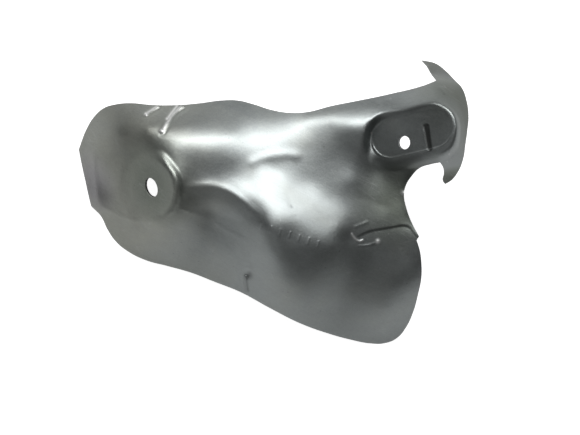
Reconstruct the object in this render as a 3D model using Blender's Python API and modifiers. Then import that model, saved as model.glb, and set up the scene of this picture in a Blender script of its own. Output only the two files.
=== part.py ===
"""Heat shield of an exhaust manifold: two pressed steel skins, one nested inside the other.

Frame: metres, +Z up. The shield lies on its rim with its hollow side down, +X runs along its
longest extent towards the arm with the two claws, and +Y runs towards the upper claw.
The origin is the bottom centre of its box, on the floor that it lies on. The dimensions below
are on the press tool's own plan, and the empty press_plan carries them to that origin.
"""
import math

import bmesh
import bpy
import numpy as np
from mathutils import Vector

MM = 0.001

# ---- driving dimensions: millimetres and degrees -------------------------------------------
OUTER_SHEET = 0.7          # thickness of the outer skin
INNER_SHEET = 0.4          # thickness of the inner skin
SKIN_GAP = 0.8             # air gap between the skins
INNER_SETBACK = 2.0        # the inner skin stops this far short of the outer skin's rim
CELL = 6.4                 # spacing of the forming grid
FINE_CELL = 3.2            # spacing round the arm, its pad and the claws
ARM_LEFT, ARM_BELOW = 62.0, 12.0   # the finer grid starts here
RIM_STEPS = 3              # rim edges between two of its points
MERGE_GAP = 0.5            # grid corners closer than this become one
PUNCH_SIDES, PUNCH_LENGTH = 48, 10.0

PLAN_SHIFT = (4.0, -0.3, 5.47)     # from the press plan to the middle of the shield's box

LEFT_BOLT = (-77.5, 9.0, 42.0)     # centre of the large hole on its pad
LEFT_BOLT_DIAMETER = 12.6
LEFT_PAD_TILT = 48.0               # the pad rises at this angle
LEFT_PAD_UPHILL = 20.0             # in this direction, counted from +X
LEFT_PAD_RADIUS = 15.0
LEFT_PAD_BLEND = 10.0              # width of the bend round the pad
LEFT_PAD_SHARP_BLEND = 6.0         # width of the bend on its uphill side

ARM_BOLT = (82.0, 36.5, 63.0)      # centre of the small hole on the long pad
ARM_BOLT_DIAMETER = 8.4
ARM_PAD_TILT = 34.5
ARM_PAD_UPHILL = 4.5
ARM_PAD_ENDS = ((74.5, 39.0), (98.0, 44.0))   # centres of the long pad's round ends
ARM_PAD_RADIUS = 12.7
ARM_PAD_WALL = 4.5                 # width of the step round the pad
ARM_PAD_DEEP_WALL = 7.5            # width of the step on the side that faces the bay

# ---- the rim: each stretch starts at a corner and runs on through smooth points (x, y, z) ---
RIM = {
    "left end and top": [
        (-130.5, 35.5, -3), (-124, 49, 5), (-118, 56.5, 12), (-111, 61.5, 18), (-103, 63.5, 23),
        (-92, 64, 28), (-79, 62.5, 33), (-64, 62, 36), (-48.5, 63, 37), (-33, 65, 36.5),
        (-22.5, 65, 36.5), (-12.5, 62.5, 38), (-0.5, 58.5, 41), (11, 56.5, 44), (22.5, 57, 45),
        (36.5, 60.5, 46), (54.5, 64, 47.5), (74.5, 68, 50.5), (95.5, 73, 55)],
    "upper claw, inner edge": [(103, 76, 55), (101.5, 82.5, 36), (100.5, 89.5, 17)],
    "tail": [
        (99.5, 95.5, -5.2), (106.5, 91.5, 13), (112, 84.5, 29), (116, 77.5, 42), (119.5, 72, 50),
        (121.5, 64.5, 56), (122.5, 53, 60), (121.5, 44, 62), (120.5, 35, 60), (120, 27, 54),
        (118, 19, 43), (115, 14, 34)],
    "lower claw, inner edge": [(111.5, 11.5, 28), (109.5, 13.5, 33), (109, 17.5, 44),
                               (107, 21, 57)],
    "bay": [
        (104, 24, 66), (98.5, 23, 61), (92.5, 21, 56), (87.5, 15.8, 52.3), (84.1, 10, 50.6),
        (83, 4.3, 50), (84.5, -4, 50), (88, -13.5, 50)],
    "nib": [(92.5, -22, 50.5)],
    "lobe and bottom": [
        (91, -24.5, 50.5), (93, -30.5, 49), (94.5, -39.5, 45.5), (95, -49, 39), (94, -59, 29.5),
        (92, -72, 15), (88, -83.5, 3.5), (82.5, -91, -3), (74.5, -94.5, -5), (65, -94.5, -3.5),
        (51, -91.5, 1), (35, -86.5, 8), (17.5, -79.5, 16), (-2, -69.5, 18),
        (-21.5, -59.5, 10), (-39, -53, 3), (-55, -47, 0), (-71.5, -42.5, -2.5), (-85, -39, -4),
        (-97.5, -33, -4.5), (-106, -26, -4.5), (-111.5, -18, -4.5), (-116, -9, -4.5)],
    "left edge": [(-122.5, -2.5, -5)],
}

# ---- form lines: crests, valleys and flanks that the sheet is pressed to (x, y, z) ----------
FORM = {
    "top flank": [(-68, 41, 52.5), (-53, 48.5, 50), (-40, 51.5, 47), (-27.5, 53.5, 45.5),
                  (-14.5, 53, 45), (-2, 50, 46.5), (11, 49.5, 48), (23.5, 53, 48), (36, 54, 50.5),
                  (48.5, 54, 53.5), (61, 53.5, 56.5)],
    "runner shoulder": [(-52.5, 37.5, 55.8), (-40, 40.5, 53.7), (-27, 41, 53.5), (-14.5, 40, 51.5),
                        (-2, 40, 51), (11, 40, 51.5), (23.5, 44.5, 50.5), (36, 45.5, 52.5),
                        (48.5, 46.5, 56), (61, 44, 59)],
    "runner crest": [(-53.5, 26.5, 57), (-40, 29.5, 56), (-27, 28.5, 56), (-14.5, 28, 54.5),
                     (-2, 31, 53.5), (11, 30, 53.5), (23.5, 33, 52), (37.5, 33, 53),
                     (48.5, 33, 53.5)],
    "runner back": [(-50.5, 16.5, 56), (-38.5, 16.5, 55.5), (-26.5, 15, 56.5)],
    "skirt ridge": [(-55.5, 7, 54.5), (-44, 7.5, 55), (-32, 5, 56.5), (-22, -1.5, 58.5)],
    "left pad edge": [(-58.5, 19, 57.5), (-58, 9, 56.5), (-61.5, -1.5, 52.5), (-86.5, -7, 27),
                      (-96, -2.5, 19), (-99, 9, 20.5), (-92.5, 22.5, 32)],
    "collector foot": [(-7, 25.5, 54.5), (10.5, 21, 55), (24.5, 12, 54), (36, 1.5, 54.5),
                       (45, -9, 55)],
    "collector face": [(-14.5, 12, 57.5), (-2, 12, 58.5), (10.5, 4.5, 59), (23.5, -4.5, 59),
                       (36, -12.5, 57.5)],
    "collector crest": [(-13, -7.5, 60.5), (-2, -17.5, 65), (10.5, -22.5, 64), (23, -26.5, 62.5),
                        (37, -29.5, 59)],
    "bay side": [(56.5, 9, 51), (69.5, -1.5, 50), (49, 13.5, 53), (72, 11.5, 49.5),
                 (55, -23, 51.5), (76, -23, 50.5), (85.5, -23.5, 51), (59, 25, 51)],
    "lobe shoulder": [(-39, -6.5, 44), (-24, -12.5, 49), (-11.5, -21.5, 54.5), (2, -32.5, 59.5),
                      (17, -38, 58), (36, -41, 53), (58.5, -37.5, 46.5), (80, -38.5, 45.5)],
    "lobe flank": [(-53, -28, 21), (-31.5, -32.5, 28.5), (-11.5, -40.5, 38), (7.5, -50.5, 47),
                   (27, -53, 46), (49.5, -51.5, 40), (75.5, -54, 38.5)],
    "lobe skirt": [(17.5, -64.5, 34.5), (44, -70, 24), (73.5, -70.5, 24)],
    "left flange": [(-99, 46.5, 34), (-79.5, 45.5, 47.5), (-108.5, 24.5, 19), (-109.5, 8, 10),
                    (-84, 29.5, 42), (-73, -13, 38)],
    "left bend": [(-119.5, 34, 10.5), (-118.5, 14.5, 4.5), (-116.5, -1.5, 1.5)],
    "skirt crease": [(-92, -12.5, 19), (-110.5, -8.5, 1.5)],
    "arm flank": [(70, 56, 58.5), (84, 58, 66), (98.5, 62.5, 74)],
    "arm foot": [(68, 21.5, 49.5), (81.5, 19.5, 54), (94, 24, 61.5)],
    "tail shoulder": [(107, 63, 73), (112.5, 55.5, 77), (114, 44.5, 78), (112.5, 33.5, 74),
                      (108.5, 27.5, 70)],
}

STEEL = (0.30, 0.31, 0.31, 1.0)
INNER_STEEL = (0.36, 0.36, 0.35, 1.0)


def clear_scene():
    for item in list(bpy.data.objects):
        bpy.data.objects.remove(item, do_unlink=True)


def make_collection(name):
    group = bpy.data.collections.new(name)
    bpy.context.scene.collection.children.link(group)
    return group


def make_steel(name, colour, roughness):
    material = bpy.data.materials.new(name)
    material.use_nodes = True
    shader = material.node_tree.nodes["Principled BSDF"]
    shader.inputs["Base Color"].default_value = colour
    shader.inputs["Metallic"].default_value = 1.0
    shader.inputs["Roughness"].default_value = roughness
    return material


# ---- the pressed form: one height for every place on the flat blank ------------------------
def thin_plate(stations):
    """The smoothest sheet through the stations, as a function of x and y."""
    xy = np.array([s[:2] for s in stations], dtype=float)
    z = np.array([s[2] for s in stations], dtype=float)

    def kernel(a, b):
        squared = ((a[:, None, :] - b[None, :, :]) ** 2).sum(axis=2)
        return 0.5 * squared * np.log(squared + 1e-9)

    plane = np.hstack([np.ones((len(xy), 1)), xy])
    system = np.block([[kernel(xy, xy), plane], [plane.T, np.zeros((3, 3))]])
    weights = np.linalg.solve(system, np.concatenate([z, np.zeros(3)]))

    def height(x, y):
        places = np.column_stack([x, y])
        return (kernel(places, xy) @ weights[:-3] + weights[-3]
                + places @ weights[-2:])
    return height


def ramp(value, start, end):
    """0 before start, 1 after end, and a smooth step between them."""
    t = np.clip((value - start) / (end - start), 0.0, 1.0)
    return t * t * (3.0 - 2.0 * t)


def pad_plane(x, y, bolt, tilt, uphill):
    slope = math.tan(math.radians(tilt))
    along = ((x - bolt[0]) * math.cos(math.radians(uphill))
             + (y - bolt[1]) * math.sin(math.radians(uphill)))
    return bolt[2] + slope * along


def pad_normal(tilt, uphill):
    tilt, uphill = math.radians(tilt), math.radians(uphill)
    return Vector((-math.sin(tilt) * math.cos(uphill), -math.sin(tilt) * math.sin(uphill),
                   math.cos(tilt)))


def from_arm_axis(x, y):
    """Distance from the long pad's centre line, and how far a place lies on its bay side."""
    (ax, ay), (bx, by) = ARM_PAD_ENDS
    ux, uy = bx - ax, by - ay
    along = np.clip(((x - ax) * ux + (y - ay) * uy) / (ux * ux + uy * uy), 0.0, 1.0)
    dx, dy = x - ax - along * ux, y - ay - along * uy
    distance = np.hypot(dx, dy)
    return distance, -dy / np.maximum(distance, 1e-6)


SHEET_FORM = thin_plate([p for line in RIM.values() for p in line]
                        + [p for line in FORM.values() for p in line])


def pressed_height(x, y):
    z = SHEET_FORM(x, y)
    from_bolt = np.hypot(x - LEFT_BOLT[0], y - LEFT_BOLT[1])
    uphill = ramp((x - LEFT_BOLT[0]) / np.maximum(from_bolt, 1e-6), 0.3, 0.8)
    blend = LEFT_PAD_BLEND + (LEFT_PAD_SHARP_BLEND - LEFT_PAD_BLEND) * uphill
    flat = 1.0 - ramp(from_bolt, LEFT_PAD_RADIUS, LEFT_PAD_RADIUS + blend)
    z += flat * (pad_plane(x, y, LEFT_BOLT, LEFT_PAD_TILT, LEFT_PAD_UPHILL) - z)
    distance, bay_side = from_arm_axis(x, y)
    wall = ARM_PAD_WALL + (ARM_PAD_DEEP_WALL - ARM_PAD_WALL) * ramp(bay_side, 0.0, 0.8)
    flat = 1.0 - ramp(distance, ARM_PAD_RADIUS, ARM_PAD_RADIUS + wall)
    z += flat * (pad_plane(x, y, ARM_BOLT, ARM_PAD_TILT, ARM_PAD_UPHILL) - z)
    return z


# ---- the skins -----------------------------------------------------------------------------
def flat_blank(name, stretches):
    """A flat sheet, one face, whose edge is a smooth curve between the corners."""
    points = [(p, index == 0) for line in stretches for index, p in enumerate(line)]
    curve = bpy.data.curves.new(name, "CURVE")
    curve.dimensions = "2D"
    curve.fill_mode = "NONE"
    curve.resolution_u = RIM_STEPS
    spline = curve.splines.new("BEZIER")
    spline.bezier_points.add(len(points) - 1)
    for knot, ((x, y, _), corner) in zip(spline.bezier_points, points):
        knot.co = (x, y, 0.0)
        knot.handle_left_type = knot.handle_right_type = "VECTOR" if corner else "AUTO"
    spline.use_cyclic_u = True
    guide = bpy.data.objects.new(name, curve)
    bpy.context.scene.collection.objects.link(guide)
    bpy.context.view_layer.update()
    outline = bpy.data.meshes.new_from_object(guide.evaluated_get(
        bpy.context.evaluated_depsgraph_get()))
    bpy.data.objects.remove(guide, do_unlink=True)
    blank = bmesh.new()
    blank.from_mesh(outline)
    bpy.data.meshes.remove(outline)
    bmesh.ops.remove_doubles(blank, verts=blank.verts, dist=0.01)
    bmesh.ops.edgeloop_fill(blank, edges=blank.edges)
    for face in blank.faces:
        if face.normal.z < 0:
            face.normal_flip()
    return blank


def scribe(blank, axis, start, end, step, keep=lambda centre: True):
    """Cut the blank along parallel lines, where keep says so."""
    normal = Vector((1, 0, 0)) if axis == 0 else Vector((0, 1, 0))
    for index in range(int((end - start) / step) + 1):
        place = normal * (start + index * step)
        faces = [f for f in blank.faces if keep(f.calc_center_bounds())]
        edges = {e for f in faces for e in f.edges}
        verts = {v for f in faces for v in f.verts}
        bmesh.ops.bisect_plane(blank, geom=faces + list(edges) + list(verts), dist=1e-4,
                               plane_co=place, plane_no=normal)


def grid_blank(blank):
    low = [min(v.co[i] for v in blank.verts) for i in range(2)]
    high = [max(v.co[i] for v in blank.verts) for i in range(2)]

    def on_arm(centre):
        return centre.x > ARM_LEFT and centre.y > ARM_BELOW

    start = [math.ceil(value / CELL) * CELL for value in low]
    for axis in range(2):
        scribe(blank, axis, start[axis], high[axis], CELL)
    for axis in range(2):
        scribe(blank, axis, start[axis] + FINE_CELL, high[axis], CELL, on_arm)
    bmesh.ops.remove_doubles(blank, verts=blank.verts, dist=MERGE_GAP)
    bmesh.ops.dissolve_degenerate(blank, edges=blank.edges, dist=0.05)


def press(blank, depth):
    """Lift the blank to the pressed form, then sink it depth under that form."""
    x = np.array([v.co.x for v in blank.verts])
    y = np.array([v.co.y for v in blank.verts])
    for vert, z in zip(blank.verts, pressed_height(x, y)):
        vert.co.z = z
    bmesh.ops.triangulate(blank, faces=blank.faces, quad_method="BEAUTY")
    blank.normal_update()
    sunk = [v.co - v.normal * depth for v in blank.verts]
    for vert, place in zip(blank.verts, sunk):
        vert.co = place * MM


def make_skin(name, blank, depth, thickness, material, group, plan, cutters):
    grid_blank(blank)
    press(blank, depth)
    mesh = bpy.data.meshes.new(name)
    blank.to_mesh(mesh)
    blank.free()
    mesh.materials.append(material)
    mesh.shade_smooth()
    skin = bpy.data.objects.new(name, mesh)
    group.objects.link(skin)
    skin.parent = plan
    wall = skin.modifiers.new("Sheet", "SOLIDIFY")
    wall.thickness = thickness * MM
    wall.offset = -1.0
    for cutter in cutters:
        hole = skin.modifiers.new(cutter.name, "BOOLEAN")
        hole.operation = "DIFFERENCE"
        hole.solver = "EXACT"
        hole.object = cutter
    return skin


def make_punch(name, bolt, tilt, uphill, diameter, group, plan):
    """A cylinder square to its pad, which pierces both skins."""
    bpy.ops.mesh.primitive_cylinder_add(vertices=PUNCH_SIDES, radius=diameter / 2 * MM,
                                        depth=PUNCH_LENGTH * MM)
    punch = bpy.context.object
    punch.name = name
    for home in list(punch.users_collection):
        home.objects.unlink(punch)
    group.objects.link(punch)
    turn = Vector((0, 0, 1)).rotation_difference(pad_normal(tilt, uphill))
    punch.parent = plan
    punch.location = Vector(bolt) * MM
    punch.rotation_euler = turn.to_euler()
    punch.hide_render = True
    punch.display_type = "WIRE"
    return punch


def inner_stretches():
    """The inner skin's edge follows the rim but leaves out both claws."""
    top = RIM["left end and top"]
    tail = RIM["tail"][4:-2]
    return [top, tail[:1], tail[1:], RIM["bay"][1:], RIM["nib"], RIM["lobe and bottom"],
            RIM["left edge"]]


def main():
    clear_scene()
    parts = make_collection("manifold_heat_shield")
    cutters = make_collection("cutters")
    plan = bpy.data.objects.new("press_plan", None)
    plan.location = Vector(PLAN_SHIFT) * MM
    parts.objects.link(plan)
    punches = [
        make_punch("left_bolt_hole", LEFT_BOLT, LEFT_PAD_TILT, LEFT_PAD_UPHILL,
                   LEFT_BOLT_DIAMETER, cutters, plan),
        make_punch("arm_bolt_hole", ARM_BOLT, ARM_PAD_TILT, ARM_PAD_UPHILL,
                   ARM_BOLT_DIAMETER, cutters, plan)]
    make_skin("outer_skin", flat_blank("outer_blank", RIM.values()), 0.0, OUTER_SHEET,
              make_steel("outer_steel", STEEL, 0.38), parts, plan, punches)

    blank = flat_blank("inner_blank", inner_stretches())
    border = bmesh.ops.inset_region(blank, faces=blank.faces, thickness=INNER_SETBACK,
                                    use_even_offset=True, use_boundary=True)["faces"]
    bmesh.ops.delete(blank, geom=border, context="FACES")
    make_skin("inner_skin", blank, OUTER_SHEET + SKIN_GAP, INNER_SHEET,
              make_steel("inner_steel", INNER_STEEL, 0.45), parts, plan, punches)


main()
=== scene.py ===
import math

import bmesh
import bpy
import numpy as np
from mathutils import Matrix, Vector


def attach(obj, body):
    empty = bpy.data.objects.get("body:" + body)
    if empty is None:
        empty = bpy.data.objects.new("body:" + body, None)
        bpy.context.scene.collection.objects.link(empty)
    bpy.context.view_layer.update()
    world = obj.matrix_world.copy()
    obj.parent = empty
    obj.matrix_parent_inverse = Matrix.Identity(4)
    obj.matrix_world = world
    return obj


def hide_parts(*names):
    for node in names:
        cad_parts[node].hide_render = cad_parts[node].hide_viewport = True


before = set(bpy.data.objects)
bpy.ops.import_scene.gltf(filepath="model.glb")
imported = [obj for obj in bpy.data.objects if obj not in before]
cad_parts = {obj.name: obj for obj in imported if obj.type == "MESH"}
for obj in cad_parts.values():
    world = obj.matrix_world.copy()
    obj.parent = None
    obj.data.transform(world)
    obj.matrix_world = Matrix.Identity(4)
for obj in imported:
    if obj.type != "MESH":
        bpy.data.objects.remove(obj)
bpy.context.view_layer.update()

mm = 0.001

# the press plan: millimetres, and its place on the floor
press = {
    "shift": (4.0, -0.3, 5.47),
    "outerSheet": 0.7,
    "skinGap": 0.8,
    "innerSheet": 0.4,
    "innerSetback": 2.0,
    "leftBolt": (-77.5, 9.0, 42.0), "leftBoltSize": 12.6,
    "leftTilt": 48.0, "leftUphill": 20.0, "leftPadRadius": 15.0, "leftPadBlend": 10.0,
    "leftPadSharpBlend": 7.0,
    "armBolt": (82.0, 36.5, 63.0), "armBoltSize": 8.4,
    "armTilt": 34.5, "armUphill": 4.5,
    "armPadEnds": ((74.5, 39.0), (98.0, 44.0)), "armPadRadius": 12.7,
    "armWall": 4.5, "armDeepWall": 7.5, "armEdgeRound": 0.8,
    "punchSides": 96, "punchLength": 10.0, "sharpAngle": 48.0,
}

# the rim: each stretch starts at a corner and runs on through smooth points
rim = {
    "left end and top": [
        (-130.5, 35.5, -3), (-124, 49, 5), (-118, 56.5, 12), (-111, 61.5, 18), (-103, 63.5, 23),
        (-92, 64, 28), (-79, 62.5, 33), (-64, 62, 36), (-48.5, 63, 37), (-33, 65, 36.5),
        (-22.5, 65, 36.5), (-12.5, 62.5, 38), (-0.5, 58.5, 41), (11, 56.5, 44), (22.5, 57, 45),
        (36.5, 60.5, 46), (54.5, 64, 47.5), (74.5, 68, 50.5), (95.5, 73, 55)],
    "upper claw, inner edge": [(103, 76, 55), (101.5, 82.5, 36), (100.5, 89.5, 17)],
    "tail": [
        (99.5, 95.5, -5.2), (106.5, 91.5, 13), (112, 84.5, 29), (116, 77.5, 42), (119.5, 72, 50),
        (121.5, 64.5, 56), (122.5, 53, 60), (121.5, 44, 62), (120.5, 35, 60), (120, 27, 54),
        (118, 19, 43), (115, 14, 34)],
    "lower claw, inner edge": [(111.5, 11.5, 28), (109.5, 13.5, 33), (109, 17.5, 44),
                               (107, 21, 57)],
    "bay": [
        (104, 24, 66), (98.5, 23, 61), (92.5, 21, 56), (87.5, 15.8, 52.3), (84.1, 10, 50.6),
        (83, 4.3, 50), (84.5, -4, 50), (88, -13.5, 50)],
    "nib": [(92.5, -22, 50.5)],
    "lobe and bottom": [
        (91, -24.5, 50.5), (93, -30.5, 49), (94.5, -39.5, 45.5), (95, -49, 39), (94, -59, 29.5),
        (92, -72, 15), (88, -83.5, 3.5), (82.5, -91, -3), (74.5, -94.5, -5), (65, -94.5, -3.5),
        (51, -91.5, 1), (35, -86.5, 8), (17.5, -79.5, 16), (-2, -69.5, 18),
        (-21.5, -59.5, 10), (-39, -53, 3), (-55, -47, 0), (-71.5, -42.5, -2.5), (-85, -39, -4),
        (-97.5, -33, -4.5), (-106, -26, -4.5), (-111.5, -18, -4.5), (-116, -9, -4.5)],
    "left edge": [(-122.5, -2.5, -5)],
}

# crests, valleys and flanks that the sheet is pressed to
form = {
    "top flank": [(-68, 41, 52.5), (-53, 48.5, 50), (-40, 51.5, 47), (-27.5, 53.5, 45.5),
                  (-14.5, 53, 45), (-2, 50, 46.5), (11, 49.5, 48), (23.5, 53, 48), (36, 54, 50.5),
                  (48.5, 54, 53.5), (61, 53.5, 56.5)],
    "runner shoulder": [(-52.5, 37.5, 55.8), (-40, 40.5, 53.7), (-27, 41, 53.5), (-14.5, 40, 51.5),
                        (-2, 40, 51), (11, 40, 51.5), (23.5, 44.5, 50.5), (36, 45.5, 52.5),
                        (48.5, 46.5, 56), (61, 44, 59)],
    "runner crest": [(-53.5, 26.5, 57), (-40, 29.5, 56), (-27, 28.5, 56), (-14.5, 28, 54.5),
                     (-2, 31, 53.5), (11, 30, 53.5), (23.5, 33, 52), (37.5, 33, 53),
                     (48.5, 33, 53.5)],
    "runner back": [(-50.5, 16.5, 56), (-38.5, 16.5, 55.5), (-26.5, 15, 56.5)],
    "skirt ridge": [(-55.5, 7, 54.5), (-44, 7.5, 55), (-32, 5, 56.5), (-22, -1.5, 58.5)],
    "left pad edge": [(-58.5, 19, 57.5), (-58, 9, 56.5), (-61.5, -1.5, 52.5), (-86.5, -7, 27),
                      (-96, -2.5, 19), (-99, 9, 20.5), (-92.5, 22.5, 32)],
    "collector foot": [(-7, 25.5, 54.5), (10.5, 21, 55), (24.5, 12, 54), (36, 1.5, 54.5),
                       (45, -9, 55)],
    "collector face": [(-14.5, 12, 57.5), (-2, 12, 58.5), (10.5, 4.5, 59), (23.5, -4.5, 59),
                       (36, -12.5, 57.5)],
    "collector crest": [(-13, -7.5, 60.5), (-2, -17.5, 65), (10.5, -22.5, 64), (23, -26.5, 62.5),
                        (37, -29.5, 59)],
    "bay side": [(56.5, 9, 51), (69.5, -1.5, 50), (49, 13.5, 53), (72, 11.5, 49.5),
                 (55, -23, 51.5), (76, -23, 50.5), (85.5, -23.5, 51), (59, 25, 51)],
    "lobe shoulder": [(-39, -6.5, 44), (-24, -12.5, 49), (-11.5, -21.5, 54.5), (2, -32.5, 59.5),
                      (17, -38, 58), (36, -41, 53), (58.5, -37.5, 46.5), (80, -38.5, 45.5)],
    "lobe flank": [(-53, -28, 21), (-31.5, -32.5, 28.5), (-11.5, -40.5, 38), (7.5, -50.5, 47),
                   (27, -53, 46), (49.5, -51.5, 40), (75.5, -54, 38.5)],
    "lobe skirt": [(17.5, -64.5, 34.5), (44, -70, 24), (73.5, -70.5, 24)],
    "left flange": [(-99, 46.5, 34), (-79.5, 45.5, 47.5), (-108.5, 24.5, 19), (-109.5, 8, 10),
                    (-84, 29.5, 42), (-73, -13, 38)],
    "left bend": [(-119.5, 34, 10.5), (-118.5, 14.5, 4.5), (-116.5, -1.5, 1.5)],
    "skirt crease": [(-92, -12.5, 19), (-110.5, -8.5, 1.5)],
    "arm flank": [(70, 56, 58.5), (84, 58, 66), (98.5, 62.5, 74)],
    "arm foot": [(68, 21.5, 49.5), (81.5, 19.5, 54), (94, 24, 61.5)],
    "tail shoulder": [(107, 63, 73), (112.5, 55.5, 77), (114, 44.5, 78), (112.5, 33.5, 74),
                      (108.5, 27.5, 70)],
}


# the form, in millimetres on the press plan
def thinPlate(stations):  # the smoothest sheet through the stations
    xy = np.array([s[:2] for s in stations], dtype=float)
    z = np.array([s[2] for s in stations], dtype=float)

    def kernel(a, b):
        squared = ((a[:, None, :] - b[None, :, :]) ** 2).sum(axis=2)
        return 0.5 * squared * np.log(squared + 1e-9)

    plane = np.hstack([np.ones((len(xy), 1)), xy])
    system = np.block([[kernel(xy, xy), plane], [plane.T, np.zeros((3, 3))]])
    weights = np.linalg.solve(system, np.concatenate([z, np.zeros(3)]))

    def height(x, y):
        places = np.column_stack([x, y])
        return kernel(places, xy) @ weights[:-3] + weights[-3] + places @ weights[-2:]
    return height


def ramp(value, start, end):  # smooth step from 0 to 1
    t = np.clip((value - start) / (end - start), 0.0, 1.0)
    return t * t * (3.0 - 2.0 * t)


def bend(value, start, end, soft):  # straight step from 0 to 1 with rounded corners
    def corner(u):
        return np.where(u < -soft, 0.0, np.where(u > soft, u, (u + soft) ** 2 / (4.0 * soft)))
    return (corner(value - start) - corner(value - end)) / (end - start)


def padPlane(x, y, bolt, tilt, uphill):
    turn = math.radians(uphill)
    along = (x - bolt[0]) * math.cos(turn) + (y - bolt[1]) * math.sin(turn)
    return bolt[2] + math.tan(math.radians(tilt)) * along


def padNormal(tilt, uphill):
    tilt, uphill = math.radians(tilt), math.radians(uphill)
    return Vector((-math.sin(tilt) * math.cos(uphill), -math.sin(tilt) * math.sin(uphill),
                   math.cos(tilt)))


def alongLine(x, y, points):
    # distance to a bent line, signed: positive on its left, and how far along it, 0 to 1
    lengths = [math.dist(a[:2], b[:2]) for a, b in zip(points, points[1:])]
    total, done = sum(lengths), 0.0
    best = np.full(x.shape, 1e9)
    side, run = np.ones(x.shape), np.zeros(x.shape)
    for a, b, length in zip(points, points[1:], lengths):
        ux, uy = (b[0] - a[0]) / length, (b[1] - a[1]) / length
        along = np.clip((x - a[0]) * ux + (y - a[1]) * uy, 0.0, length)
        dx, dy = x - a[0] - along * ux, y - a[1] - along * uy
        distance = np.hypot(dx, dy)
        closer = distance < best
        best = np.where(closer, distance, best)
        side = np.where(closer, np.sign(ux * dy - uy * dx + 1e-12), side)
        run = np.where(closer, (done + along) / total, run)
        done += length
    return best * side, run


def smoothLine(points, rounds=2):  # rounds the corners of a bent line
    for _ in range(rounds):
        cut = [points[0]]
        for (ax, ay), (bx, by) in zip(points, points[1:]):
            cut += [(0.75 * ax + 0.25 * bx, 0.75 * ay + 0.25 * by),
                    (0.25 * ax + 0.75 * bx, 0.25 * ay + 0.75 * by)]
        points = cut + [points[-1]]
    return points


pressedSheet = thinPlate([p for line in rim.values() for p in line]
                         + [p for line in form.values() for p in line])


def pressedForm(x, y):
    z = pressedSheet(x, y)
    bolt = press["leftBolt"]
    away = np.hypot(x - bolt[0], y - bolt[1])
    uphill = ramp((x - bolt[0]) / np.maximum(away, 1e-6), 0.3, 0.8)
    blend = press["leftPadBlend"] + (press["leftPadSharpBlend"] - press["leftPadBlend"]) * uphill
    flat = 1.0 - ramp(away, press["leftPadRadius"], press["leftPadRadius"] + blend)
    z += flat * (padPlane(x, y, bolt, press["leftTilt"], press["leftUphill"]) - z)
    return z


def armPad(x, y, z):
    distance, _ = alongLine(x, y, press["armPadEnds"])
    (ax, ay), (bx, by) = press["armPadEnds"]
    below = (y - ay - (by - ay) * np.clip((x - ax) / (bx - ax), 0.0, 1.0)) / np.maximum(
        np.abs(distance), 1e-6)
    wall = press["armWall"] + (press["armDeepWall"] - press["armWall"]) * ramp(-below, 0.0, 0.8)
    flat = 1.0 - bend(np.abs(distance), press["armPadRadius"], press["armPadRadius"] + wall,
                      press["armEdgeRound"])
    bolt = press["armBolt"]
    return z + flat * (padPlane(x, y, bolt, press["armTilt"], press["armUphill"]) - z)


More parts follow.
